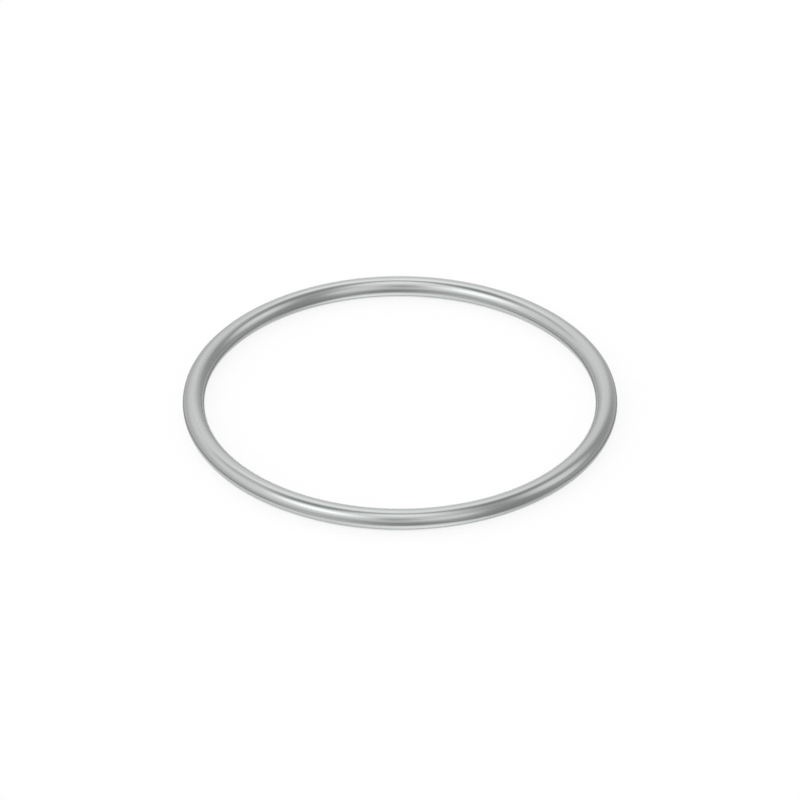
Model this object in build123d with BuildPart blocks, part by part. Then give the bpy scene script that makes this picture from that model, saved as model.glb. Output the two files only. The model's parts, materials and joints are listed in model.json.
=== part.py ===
from build123d import *
import os

# Plain o-ring of solid round section, in millimetres
# It lies flat, with the origin at its centre, half-way up the section, and +Z along its axis

# Driving dimensions
INSIDE_DIAMETER = 54.0  # across the hole, where the ring is narrowest
SECTION_DIAMETER = 3.0  # through the ring's solid round section

# Centreline, half a section outside the edge of the hole
section_radius = SECTION_DIAMETER / 2
centreline_radius = INSIDE_DIAMETER / 2 + section_radius

# The ring: its round section carried once round the axis, so that it has no seam, split or end
with BuildPart() as o_ring:
    with BuildSketch(Plane.XZ) as section:
        with Locations((centreline_radius, 0)):
            Circle(section_radius)
    revolve(axis=Axis.Z)

o_ring.part.label = "o_ring"

# One file, named after the ring
os.makedirs("parts", exist_ok=True)
export_step(o_ring.part, "parts/o_ring.step")
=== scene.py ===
"""A plain steel o-ring, lying on a white studio floor.

The ring is spun from its own round section and dressed in satin drawn steel. Round it stands a white studio,
whose pale and dark cards are what the metal mirrors.
"""

import json
import logging
import math
from dataclasses import dataclass, field
from enum import Enum

import bpy
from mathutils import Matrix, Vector


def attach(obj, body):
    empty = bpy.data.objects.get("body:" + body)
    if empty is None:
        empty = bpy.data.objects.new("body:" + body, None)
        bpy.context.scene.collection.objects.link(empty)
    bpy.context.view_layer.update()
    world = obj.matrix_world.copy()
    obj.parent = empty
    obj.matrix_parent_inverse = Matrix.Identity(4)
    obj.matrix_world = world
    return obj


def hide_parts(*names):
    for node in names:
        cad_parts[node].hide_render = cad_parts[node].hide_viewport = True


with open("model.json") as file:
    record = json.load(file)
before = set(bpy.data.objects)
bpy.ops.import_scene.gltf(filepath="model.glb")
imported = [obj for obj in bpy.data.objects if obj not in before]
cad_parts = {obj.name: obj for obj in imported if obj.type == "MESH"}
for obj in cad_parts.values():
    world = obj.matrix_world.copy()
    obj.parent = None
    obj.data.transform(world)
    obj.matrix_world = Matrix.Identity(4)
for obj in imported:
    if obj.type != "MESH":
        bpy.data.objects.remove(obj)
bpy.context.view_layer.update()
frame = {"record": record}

LOG = logging.getLogger("o_ring_scene")
MILLIMETRE = 0.001
# The name of the ring's own surface map
BAKE_MAP = "OFBake"


def seat_radius(seat: str) -> float:
    """Looks up how far one of the ring's seats is from its axis.

    Args:
        seat: the mount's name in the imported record.

    Returns:
        The radius in metres.
    """
    radii = {mount["name"]: mount["dims"]["r_mm"] for mount in frame["record"]["mounts"]}
    return radii[seat] * MILLIMETRE


def grey(level: float) -> tuple[float, float, float, float]:
    """Gives the neutral colour of one level, where 1 is white."""
    return level, level, level, 1.0


@dataclass
class Bench:
    """Adds nodes to one tree and joins them up, so that a finish reads like a formula.

    Attributes:
        tree: the node tree that is being built.
    """

    tree: bpy.types.NodeTree

    def node(self, kind: str, **settings: object) -> bpy.types.Node:
        """Adds one node.

        Args:
            kind: the node's type without its ShaderNode prefix.
            settings: the node's own properties and their values.

        Returns:
            The new node.
        """
        made = self.tree.nodes.new("ShaderNode" + kind)
        for name, value in settings.items():
            setattr(made, name, value)
        return made

    def given(self) -> bpy.types.NodeOutputs:
        """Adds the node that a group's own inputs come out of, and returns its sockets."""
        return self.tree.nodes.new("NodeGroupInput").outputs

    def give(self, **values: object) -> None:
        """Adds the node that a group's results leave by, and fills it by name."""
        self.filled(self.tree.nodes.new("NodeGroupOutput"), **values)

    def feed(self, socket: bpy.types.NodeSocket, value: object) -> None:
        """Gives a socket its value.

        Args:
            socket: the input to fill.
            value: an output to link from, or a plain number, colour or vector.
        """
        if isinstance(value, bpy.types.NodeSocket):
            self.tree.links.new(value, socket)
        else:
            socket.default_value = value

    def filled(self, node: bpy.types.Node, **values: object) -> bpy.types.Node:
        """Fills a node's inputs by name.

        Args:
            node: the node to fill.
            values: input names, with underscores for their spaces, and what each one gets.

        Returns:
            The same node.
        """
        for name, value in values.items():
            self.feed(node.inputs[name.replace("_", " ")], value)
        return node

    def math(self, operation: str, *values: object) -> bpy.types.NodeSocket:
        """Works out one sum.

        Args:
            operation: the Math node's operation.
            values: its inputs in order.

        Returns:
            The result.
        """
        made = self.node("Math", operation=operation)
        for socket, value in zip(made.inputs, values):
            self.feed(socket, value)
        return made.outputs[0]

    def hypotenuse(self, first: object, second: object) -> bpy.types.NodeSocket:
        """Works out the long side of a right-angled triangle.

        Args:
            first: one short side.
            second: the other short side.

        Returns:
            The long side.
        """
        squares = (self.math("MULTIPLY", side, side) for side in (first, second))
        return self.math("SQRT", self.math("ADD", *squares))

    def along(self, direction: object, axis: object) -> bpy.types.NodeSocket:
        """Measures how far a direction goes along an axis.

        Args:
            direction: the direction.
            axis: the axis, whose length scales the result.

        Returns:
            Their dot product.
        """
        made = self.node("VectorMath", operation="DOT_PRODUCT")
        self.feed(made.inputs[0], direction)
        self.feed(made.inputs[1], axis)
        return made.outputs["Value"]

    def between(self, value: object, start: object, end: object, low: float, high: float,
                eased: bool = False) -> bpy.types.NodeSocket:
        """Carries a value from one range to another, and holds it at the ends.

        Args:
            value: what is carried over.
            start: the value that gives low.
            end: the value that gives high.
            low: the result at start.
            high: the result at end.
            eased: whether the change starts and ends gently.

        Returns:
            The result.
        """
        made = self.node("MapRange", interpolation_type="SMOOTHSTEP" if eased else "LINEAR")
        self.filled(made, Value=value, From_Min=start, From_Max=end, To_Min=low, To_Max=high)
        return made.outputs["Result"]

    def blend(self, share: object, first: object, second: object) -> bpy.types.NodeSocket:
        """Mixes two colours.

        Args:
            share: how much of the second there is, from 0 to 1.
            first: the colour at share 0.
            second: the colour at share 1.

        Returns:
            The mixed colour.
        """
        made = self.node("Mix", data_type="RGBA")
        return self.filled(made, Factor=share, A=first, B=second).outputs["Result"]

    def either(self, share: object, first: bpy.types.Node, second: bpy.types.Node) -> bpy.types.Node:
        """Mixes two shaders.

        Args:
            share: how much of the second there is, from 0 to 1.
            first: the shader at share 0.
            second: the shader at share 1.

        Returns:
            The node that mixes them.
        """
        made = self.node("MixShader")
        for socket, value in zip(made.inputs, (share, first.outputs[0], second.outputs[0])):
            self.feed(socket, value)
        return made


@dataclass(frozen=True)
class Port:
    """One named input or output of a node group.

    Attributes:
        name: what the group calls it.
        kind: the socket's type without its NodeSocket prefix.
    """

    name: str
    kind: str = "Float"


def new_group(name: str, takes: list[Port], gives: list[Port]) -> tuple[bpy.types.NodeTree, Bench]:
    """Starts a shader node group.

    Args:
        name: the group's name.
        takes: its inputs.
        gives: its outputs.

    Returns:
        The group and the bench that builds inside it.
    """
    group = bpy.data.node_groups.new(name, "ShaderNodeTree")
    for side, ports in (("INPUT", takes), ("OUTPUT", gives)):
        for port in ports:
            group.interface.new_socket(port.name, in_out=side, socket_type="NodeSocket" + port.kind)
    return group, Bench(group)


def draw_marks_group() -> bpy.types.NodeTree:
    """Builds the marks that drawing and polishing leave, which run round the ring and close on themselves.

    Returns:
        A group that gives a value about one half, from the place on the ring, the ring's two radii, and how
        many marks there are to a radian along the ring and across its section.
    """
    takes = [
        Port("Position", "Vector"), Port("Centreline Radius"), Port("Section Radius"),
        Port("Marks Along"), Port("Marks Across"),
    ]
    group, bench = new_group("draw marks", takes, [Port("Mark")])
    given = bench.given()
    place = bench.filled(bench.node("SeparateXYZ"), Vector=given["Position"]).outputs
    from_axis = bench.hypotenuse(place["X"], place["Y"])
    outwards = bench.math("SUBTRACT", from_axis, given["Centreline Radius"])
    along = bench.math("DIVIDE", given["Marks Along"], from_axis)
    across = bench.math("DIVIDE", given["Marks Across"], given["Section Radius"])
    # Two circles, one round the ring and one round its section, so that no mark has an end
    circles = bench.filled(
        bench.node("CombineXYZ"),
        X=bench.math("MULTIPLY", place["X"], along),
        Y=bench.math("MULTIPLY", place["Y"], along),
        Z=bench.math("MULTIPLY", outwards, across),
    )
    noise = bench.filled(
        bench.node("TexNoise", noise_dimensions="4D"),
        Vector=circles.outputs["Vector"],
        W=bench.math("MULTIPLY", place["Z"], across),
        Scale=1.0,
        Detail=3.0,
    )
    bench.give(Mark=noise.outputs[0])
    return group


def studio_card_group() -> bpy.types.NodeTree:
    """Builds one soft-edged oval card, seen from the middle of the studio in front of what stands behind it.

    Returns:
        A group that gives the light in a direction, from the light behind the card and the card's own place,
        size and level.
    """
    takes = [
        Port("Direction", "Vector"), Port("Light Behind", "Color"), Port("Middle", "Vector"),
        Port("Sideways", "Vector"), Port("Upwards", "Vector"), Port("Softness"), Port("Level", "Color"),
    ]
    group, bench = new_group("studio card", takes, [Port("Light", "Color")])
    given = bench.given()
    sideways = bench.along(given["Direction"], given["Sideways"])
    upwards = bench.along(given["Direction"], given["Upwards"])
    from_middle = bench.hypotenuse(sideways, upwards)
    outer = bench.math("ADD", 1.0, given["Softness"])
    inner = bench.math("SUBTRACT", 1.0, given["Softness"])
    covered = bench.between(from_middle, outer, inner, 0.0, 1.0, eased=True)
    # The same oval lies on the far side of the studio too, where there is no card
    ahead = bench.math("GREATER_THAN", bench.along(given["Direction"], given["Middle"]), 0.0)
    share = bench.math("MULTIPLY", covered, ahead)
    bench.give(Light=bench.blend(share, given["Light Behind"], given["Level"]))
    return group


@dataclass(frozen=True)
class DrawMarks:
    """One size of draw marks.

    Attributes:
        along: how many there are to a radian round the ring, one behind the other.
        across: how many there are to a radian round its section, side by side.
    """

    along: float
    across: float

    def placed(self, bench: Bench, group: bpy.types.NodeTree, ring: "SealRing") -> bpy.types.NodeSocket:
        """Places marks of this size on a ring.

        Args:
            bench: where the finish is built.
            group: the group of the draw marks.
            ring: the ring, whose radii the marks follow.

        Returns:
            A value about one half.
        """
        marks = bench.filled(
            bench.node("Group", node_tree=group),
            Position=bench.node("TexCoord").outputs["Object"],
            Centreline_Radius=ring.centreline_radius,
            Section_Radius=ring.section_radius,
            Marks_Along=self.along,
            Marks_Across=self.across,
        )
        return marks.outputs["Mark"]


@dataclass(frozen=True)
class SatinSteel:
    """Drawn steel wire, wiped to a satin shine.

    Attributes:
        colour: the metal's own colour, a neutral grey with a breath of green.
        variation: how much its tone differs between the dullest and the brightest marks, as a share.
        smoothest: its roughness where it was wiped most.
        roughest: its roughness in the dullest draw marks.
        mark_depth: the depth of the draw marks, in metres.
        fine: the fine hairlines, which are also felt as bump.
        broad: the broad streaks.
        fine_share: how much of the tone and roughness follows the fine marks, and not the broad ones.
        dullest: the marks' value where they are dullest.
        brightest: the marks' value where they are brightest.
    """

    colour: tuple[float, float, float] = (0.565, 0.584, 0.578)
    variation: float = 0.12
    smoothest: float = 0.14
    roughest: float = 0.24
    mark_depth: float = 3.5e-6
    fine: DrawMarks = DrawMarks(along=3.0, across=16.0)
    broad: DrawMarks = DrawMarks(along=2.0, across=5.0)
    fine_share: float = 0.6
    dullest: float = 0.35
    brightest: float = 0.65

    def toned(self, change: float) -> tuple[float, float, float, float]:
        """Gives the metal's colour, made paler or darker by a share."""
        return (*(level * (1.0 + change) for level in self.colour), 1.0)

    def material(self, ring: "SealRing") -> bpy.types.Material:
        """Builds the finish for one ring.

        Args:
            ring: the ring that wears it, whose radii the draw marks follow.

        Returns:
            The material.
        """
        made = bpy.data.materials.new("satin_steel")
        made.use_nodes = True
        made.node_tree.nodes.clear()
        bench = Bench(made.node_tree)
        group = draw_marks_group()
        fine = self.fine.placed(bench, group, ring)
        broad = bench.math("MULTIPLY", self.broad.placed(bench, group, ring), 1.0 - self.fine_share)
        marks = bench.math("MULTIPLY_ADD", fine, self.fine_share, broad)
        shine = bench.between(marks, self.dullest, self.brightest, 0.0, 1.0)
        roughness = bench.between(marks, self.dullest, self.brightest, self.roughest, self.smoothest)
        bump = bench.filled(bench.node("Bump"), Strength=1.0, Distance=self.mark_depth, Height=fine)
        steel = bench.filled(
            bench.node("BsdfPrincipled"),
            Base_Color=bench.blend(shine, self.toned(-self.variation / 2), self.toned(self.variation / 2)),
            Metallic=1.0,
            Roughness=roughness,
            Normal=bump.outputs["Normal"],
        )
        bench.filled(bench.node("OutputMaterial"), Surface=steel.outputs["BSDF"])
        return made


@dataclass
class SealRing:
    """The o-ring itself: one round section carried once round its axis.

    Attributes:
        inner_radius: from the axis to the edge of the hole, in metres.
        outer_radius: from the axis to the ring's outside, in metres.
        section_sides: faces round the section.
        ring_steps: faces round the ring.
        weld_share: how near two vertices are to be welded, as a share of the section's radius.
        map_strips: equal lengths that the surface is cut into for its map.
        map_margin: the bare edge round each length on the map, as a share of its side.
    """

    inner_radius: float = field(default_factory=lambda: seat_radius("inner_seat"))
    outer_radius: float = field(default_factory=lambda: seat_radius("outer_seat"))
    section_sides: int = 96
    ring_steps: int = 480
    weld_share: float = 0.001
    map_strips: int = 4
    map_margin: float = 0.02

    @property
    def section_radius(self) -> float:
        """Half the thickness of the ring."""
        return (self.outer_radius - self.inner_radius) / 2

    @property
    def centreline_radius(self) -> float:
        """From the axis to the middle of the section."""
        return (self.outer_radius + self.inner_radius) / 2

    def spin(self) -> bpy.types.Object:
        """Draws the round section and spins it once round the axis.

        Returns:
            The closed ring, with its place in its mesh.
        """
        bpy.ops.object.select_all(action="DESELECT")
        bpy.ops.mesh.primitive_circle_add(
            vertices=self.section_sides,
            radius=self.section_radius,
            location=(self.centreline_radius, 0, 0),
            rotation=(math.pi / 2, 0, 0),
            calc_uvs=False,
        )
        ring = bpy.context.object
        ring.name = ring.data.name = "seal_ring"
        bpy.ops.object.transform_apply(location=True, rotation=True, scale=True)
        bpy.ops.object.mode_set(mode="EDIT")
        bpy.ops.mesh.select_all(action="SELECT")
        bpy.ops.mesh.spin(
            steps=self.ring_steps,
            angle=2 * math.pi,
            center=(0, 0, 0),
            axis=(0, 0, 1),
            use_auto_merge=True,
        )
        bpy.ops.mesh.select_all(action="SELECT")
        bpy.ops.mesh.remove_doubles(threshold=self.section_radius * self.weld_share)
        bpy.ops.mesh.normals_make_consistent(inside=False)
        bpy.ops.object.mode_set(mode="OBJECT")
        bpy.ops.object.shade_smooth()
        return ring

    def true_up(self, mesh: bpy.types.Mesh) -> None:
        """Puts each vertex exactly on the round section, which the spin's many steps leave by a hair.

        Args:
            mesh: the spun ring.
        """
        for vertex in mesh.vertices:
            outwards = Vector((vertex.co.x, vertex.co.y, 0)).normalized()
            centre = outwards * self.centreline_radius
            vertex.co = centre + (vertex.co - centre).normalized() * self.section_radius
        mesh.update()

    def turns(self, place: Vector) -> tuple[float, float]:
        """Says how far round a place is.

        Args:
            place: a point on or in the ring.

        Returns:
            The shares of a whole turn round the ring, and round its section from the bottom of it, where
            the seam of the map is out of sight. Each goes from 0 to 1.
        """
        outwards = math.hypot(place.x, place.y) - self.centreline_radius
        round_ring = math.atan2(place.y, place.x) / math.tau % 1.0
        round_section = math.atan2(outwards, -place.z) / math.tau % 1.0
        return round_ring, round_section

    def unwrap(self, mesh: bpy.types.Mesh) -> None:
        """Lays the surface out flat, as equal lengths of ring one above the other.

        Args:
            mesh: the spun ring.
        """
        used = 1.0 - 2 * self.map_margin
        layer = mesh.uv_layers.new(name=BAKE_MAP)
        for face in mesh.polygons:
            face_ring, face_section = self.turns(face.center)
            strip = math.floor(face_ring * self.map_strips)
            for loop in face.loop_indices:
                at_ring, at_section = self.turns(mesh.vertices[mesh.loops[loop].vertex_index].co)
                # A corner on the far side of the seam counts on from its own face
                at_ring += round(face_ring - at_ring)
                at_section += round(face_section - at_section)
                along = self.map_margin + (at_ring * self.map_strips - strip) * used
                across = self.map_margin + at_section * used
                layer.uv[loop].vector = (along, (strip + across) / self.map_strips)

    def build(self, finish: SatinSteel) -> bpy.types.Object:
        """Makes the ring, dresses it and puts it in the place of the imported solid.

        Args:
            finish: what the ring is made of.

        Returns:
            The finished piece.
        """
        ring = self.spin()
        self.true_up(ring.data)
        self.unwrap(ring.data)
        ring.data.materials.append(finish.material(self))
        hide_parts("o_ring")
        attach(ring, "root")
        LOG.info("%s: %.1f mm inside, %.1f mm section, %d faces", ring.name,
                 2 * self.inner_radius / MILLIMETRE, 2 * self.section_radius / MILLIMETRE,
                 len(ring.data.polygons))
        return ring


class Tone(Enum):
    """How bright each kind of studio card is, where 1 is white."""

    KEY = 1.85
    GLARE = 1.50
    LAMP = 1.33
    FILL = 1.08
    PALE = 1.00
    SILVER = 0.74
    GREY = 0.68
    SLATE = 0.52
    STEEL = 0.45
    CHARCOAL = 0.36
    BLACK = 0.26


@dataclass(frozen=True)
class Card:
    """One soft card or lamp of the studio, placed by the direction it is seen in from the ring.

    Attributes:
        name: what it is for.
        azimuth: degrees from the back of the studio, clockwise from above.
        elevation: degrees above the ring.
        half_width: degrees from its middle to its side.
        half_height: degrees from its middle to its top.
        softness: how far its edge fades, as a share of its size.
        tone: how bright it is.
    """

    name: str
    azimuth: float
    elevation: float
    half_width: float
    half_height: float
    softness: float
    tone: Tone

    @property
    def middle(self) -> Vector:
        """The direction in which its middle is seen.

        Returns:
            A vector of length 1.
        """
        azimuth, elevation = math.radians(self.azimuth), math.radians(self.elevation)
        level = Vector((math.sin(azimuth), math.cos(azimuth), 0)) * math.cos(elevation)
        return level + Vector((0, 0, math.sin(elevation)))

    @property
    def sideways(self) -> Vector:
        """The axis to its right-hand side, along which its edge is at 1."""
        azimuth = math.radians(self.azimuth)
        return Vector((math.cos(azimuth), -math.sin(azimuth), 0)) / math.sin(math.radians(self.half_width))

    @property
    def upwards(self) -> Vector:
        """The axis to its top, along which its edge is at 1."""
        top = self.sideways.cross(self.middle).normalized()
        return top / math.sin(math.radians(self.half_height))


@dataclass
class Studio:
    """A white studio: the floor that keeps the ring's shadow, and the walls and lamps that the steel mirrors.

    Attributes:
        floor_height: the height of the floor, in metres.
        floor_side: the length of its sides, in metres.
        floor_paint: how pale its paint is, which its shadow falls on.
        level: how bright the cards and walls are as a whole.
        white: how bright the floor is to the camera, so that with its shaded share it is just white.
        shadow_share: how much of the floor's brightness the ring's shadow can take.
        cards: the cards and lamps, the furthest first.
        walls: elevation in degrees and level, from straight down to straight up.
    """

    floor_height: float
    floor_side: float = 6.0
    floor_paint: float = 0.9
    level: float = 0.97
    white: float = 1.06
    shadow_share: float = 0.20
    cards: tuple[Card, ...] = (
        Card("right wall", 88, 23, 57, 43, 0.30, Tone.STEEL),
        Card("right skirting", 64, -27, 38, 9, 0.60, Tone.BLACK),
        Card("left glow", -115, 28, 47, 26, 0.55, Tone.PALE),
        Card("front wall", -178, -17, 24, 17, 0.60, Tone.BLACK),
        Card("back lamp", -16, 64, 30, 14, 0.50, Tone.LAMP),
        Card("front lamp", 178, 76, 28, 12, 0.40, Tone.LAMP),
        Card("overhead rail", 0, 84, 27, 5, 0.50, Tone.SLATE),
        Card("left flag", -87, 68, 16, 14, 0.65, Tone.CHARCOAL),
        Card("left seam", -62, 48, 10, 12, 0.75, Tone.GREY),
        Card("back seam", 38, 50, 7, 6, 0.80, Tone.SILVER),
        Card("right flag", 82, 64, 20, 16, 0.60, Tone.CHARCOAL),
        Card("right fill", 90, 31, 17, 20, 0.60, Tone.FILL),
        Card("front flag", 123, -23, 22, 28, 0.60, Tone.BLACK),
        Card("side fill", 155, 25, 14, 18, 0.60, Tone.PALE),
        Card("camera", -178, 34, 9, 13, 0.70, Tone.SLATE),
        Card("key reflector", -130, 22, 22, 9, 0.70, Tone.FILL),
        Card("key lamp", -132, 42, 18, 14, 0.65, Tone.KEY),
        Card("left sweep", -145, -22, 24, 11, 0.60, Tone.GREY),
        Card("left floor", -57, -63, 18, 21, 0.45, Tone.GREY),
        Card("right floor", 69, -60, 28, 25, 0.35, Tone.GREY),
        Card("right corner", 55, -68, 9, 8, 0.80, Tone.SLATE),
        Card("front floor", 158, -61, 26, 13, 0.65, Tone.GLARE),
        Card("back floor", 0, -69, 27, 13, 0.60, Tone.GLARE),
        Card("white backdrop", 0, -16, 14, 24, 0.20, Tone.LAMP),
    )
    walls: tuple[tuple[float, float], ...] = (
        (-90, 0.77), (-60, 1.12), (-45, 1.15), (-36, 1.00), (-30, 0.50), (-26, 0.15), (-21, 0.45),
        (-15, 0.66), (-5, 0.67), (5, 0.64), (25, 0.95), (35, 1.00), (60, 0.96), (90, 0.86),
    )

    def lay_floor(self) -> bpy.types.Object:
        """Lays the white floor that the ring rests on.

        Returns:
            The floor.
        """
        bpy.ops.object.select_all(action="DESELECT")
        bpy.ops.mesh.primitive_plane_add(size=self.floor_side, location=(0, 0, self.floor_height))
        floor = bpy.context.object
        floor.name = floor.data.name = "studio_floor"
        bpy.ops.object.transform_apply(location=True, rotation=True, scale=True)
        floor.data.materials.append(self.floor_material())
        LOG.info("%s: at %.1f mm", floor.name, self.floor_height / MILLIMETRE)
        return floor

    def floor_material(self) -> bpy.types.Material:
        """Builds the floor's white.

        To the camera it is white, apart from the shadow. The steel mirrors the studio's own sweep through it,
        with the same shadow.

        Returns:
            The material.
        """
        made = bpy.data.materials.new("white_floor")
        made.use_nodes = True
        made.node_tree.nodes.clear()
        bench = Bench(made.node_tree)
        ray = bench.node("LightPath").outputs
        paint = bench.filled(bench.node("BsdfDiffuse"), Color=grey(self.floor_paint))
        white = bench.filled(bench.node("Emission"), Strength=self.white)
        sweep = bench.node("BsdfTransparent")
        mirrored = bench.math("MAXIMUM", ray["Is Glossy Ray"], ray["Is Transmission Ray"])
        unshaded = bench.either(mirrored, white, sweep)
        looked_at = bench.math("MAXIMUM", ray["Is Camera Ray"], mirrored)
        share = bench.between(looked_at, 0.0, 1.0, 1.0, self.shadow_share)
        floor = bench.either(share, unshaded, paint)
        bench.filled(bench.node("OutputMaterial"), Surface=floor.outputs[0])
        return made

    def grade_walls(self, bench: Bench, direction: bpy.types.NodeSocket) -> bpy.types.NodeSocket:
        """Shades the walls by their height.

        Args:
            bench: where the world is built.
            direction: the direction that is looked in.

        Returns:
            The light of the bare walls.
        """
        up = bench.filled(bench.node("SeparateXYZ"), Vector=direction).outputs["Z"]
        half_turns = bench.math("DIVIDE", bench.math("ARCSINE", up), math.pi)
        walls = bench.node("ValToRGB")
        # The ramp goes from straight down at 0 to straight up at 1
        bench.feed(walls.inputs["Fac"], bench.math("ADD", half_turns, 0.5))
        ramp = walls.color_ramp.elements
        while len(ramp) < len(self.walls):
            ramp.new(1.0)
        for stop, (elevation, level) in zip(ramp, self.walls):
            stop.position = elevation / 180 + 0.5
            stop.color = grey(level)
        return walls.outputs["Color"]

    def hang_cards(self, bench: Bench, direction: bpy.types.NodeSocket,
                   light: bpy.types.NodeSocket) -> bpy.types.NodeSocket:
        """Hangs the cards and lamps in front of the walls, one in front of the other.

        Args:
            bench: where the world is built.
            direction: the direction that is looked in.
            light: the light of the bare walls.

        Returns:
            The light of the walls and cards together.
        """
        group = studio_card_group()
        for card in self.cards:
            hung = bench.filled(
                bench.node("Group", node_tree=group, label=card.name),
                Direction=direction,
                Light_Behind=light,
                Middle=card.middle,
                Sideways=card.sideways,
                Upwards=card.upwards,
                Softness=card.softness,
                Level=grey(card.tone.value),
            )
            light = hung.outputs["Light"]
        return light

    def raise_walls(self) -> bpy.types.World:
        """Builds the world: white to the camera, and walls, lamps and flags to the steel and the floor.

        Returns:
            The world.
        """
        world = bpy.data.worlds.new("white_studio")
        world.use_nodes = True
        world.node_tree.nodes.clear()
        bench = Bench(world.node_tree)
        direction = bench.node("TexCoord").outputs["Generated"]
        light = self.hang_cards(bench, direction, self.grade_walls(bench, direction))
        ray = bench.node("LightPath").outputs
        straight_on = bench.math("MAXIMUM", ray["Is Camera Ray"], ray["Is Transmission Ray"])
        studio = bench.filled(bench.node("Background"), Color=light, Strength=self.level)
        white = bench.filled(bench.node("Background"), Color=grey(1.0), Strength=1.0)
        shown = bench.either(straight_on, studio, white)
        bench.filled(bench.node("OutputWorld"), Surface=shown.outputs[0])
        LOG.info("%s: %d cards and lamps", world.name, len(self.cards))
        return world

    def build(self) -> None:
        """Lays the floor and makes the studio the scene's world."""
        self.lay_floor()
        scene = bpy.context.scene
        scene.world = self.raise_walls()
        scene.view_settings.view_transform = "Standard"


@dataclass(frozen=True)
class Viewpoint:
    """The photograph's camera, which looks down at the middle of the ring with a long lens.

    Attributes:
        elevation: degrees above the floor.
        distance: from the middle of the ring, in centreline radii.
        radius_in_picture: the centreline's radius, as a share of the picture's width.
        sensor_width: the width of the camera's sensor, in millimetres.
        sight: how far the camera sees, in metres.
    """

    elevation: float = 34.36
    distance: float = 32.8
    radius_in_picture: float = 0.258
    sensor_width: float = 36.0
    sight: float = 10.0

    def build(self, ring: SealRing) -> bpy.types.Object:
        """Sets up the camera.

        Args:
            ring: the ring that it looks at.

        Returns:
            The camera.
        """
        lens = bpy.data.cameras.new("long_lens")
        lens.sensor_width = self.sensor_width
        lens.lens = self.sensor_width * self.radius_in_picture * self.distance
        lens.clip_end = self.sight
        camera = bpy.data.objects.new("camera", lens)
        bpy.context.scene.collection.objects.link(camera)
        tilt = math.radians(self.elevation)
        back = Vector((0, -math.cos(tilt), math.sin(tilt)))
        camera.location = back * self.distance * ring.centreline_radius
        camera.rotation_euler = back.to_track_quat("Z", "Y").to_euler()
        bpy.context.scene.camera = camera
        LOG.info("%s: %.0f mm lens, %.0f mm away", camera.name, lens.lens,
                 camera.location.length / MILLIMETRE)
        return camera


def main() -> None:
    """Builds the ring, the studio round it and the camera."""
    logging.basicConfig(level=logging.INFO, format="%(name)s: %(message)s")
    ring = SealRing()
    ring.build(SatinSteel())
    Studio(floor_height=-ring.section_radius).build()
    Viewpoint().build(ring)


if __name__ == "__main__":
    main()
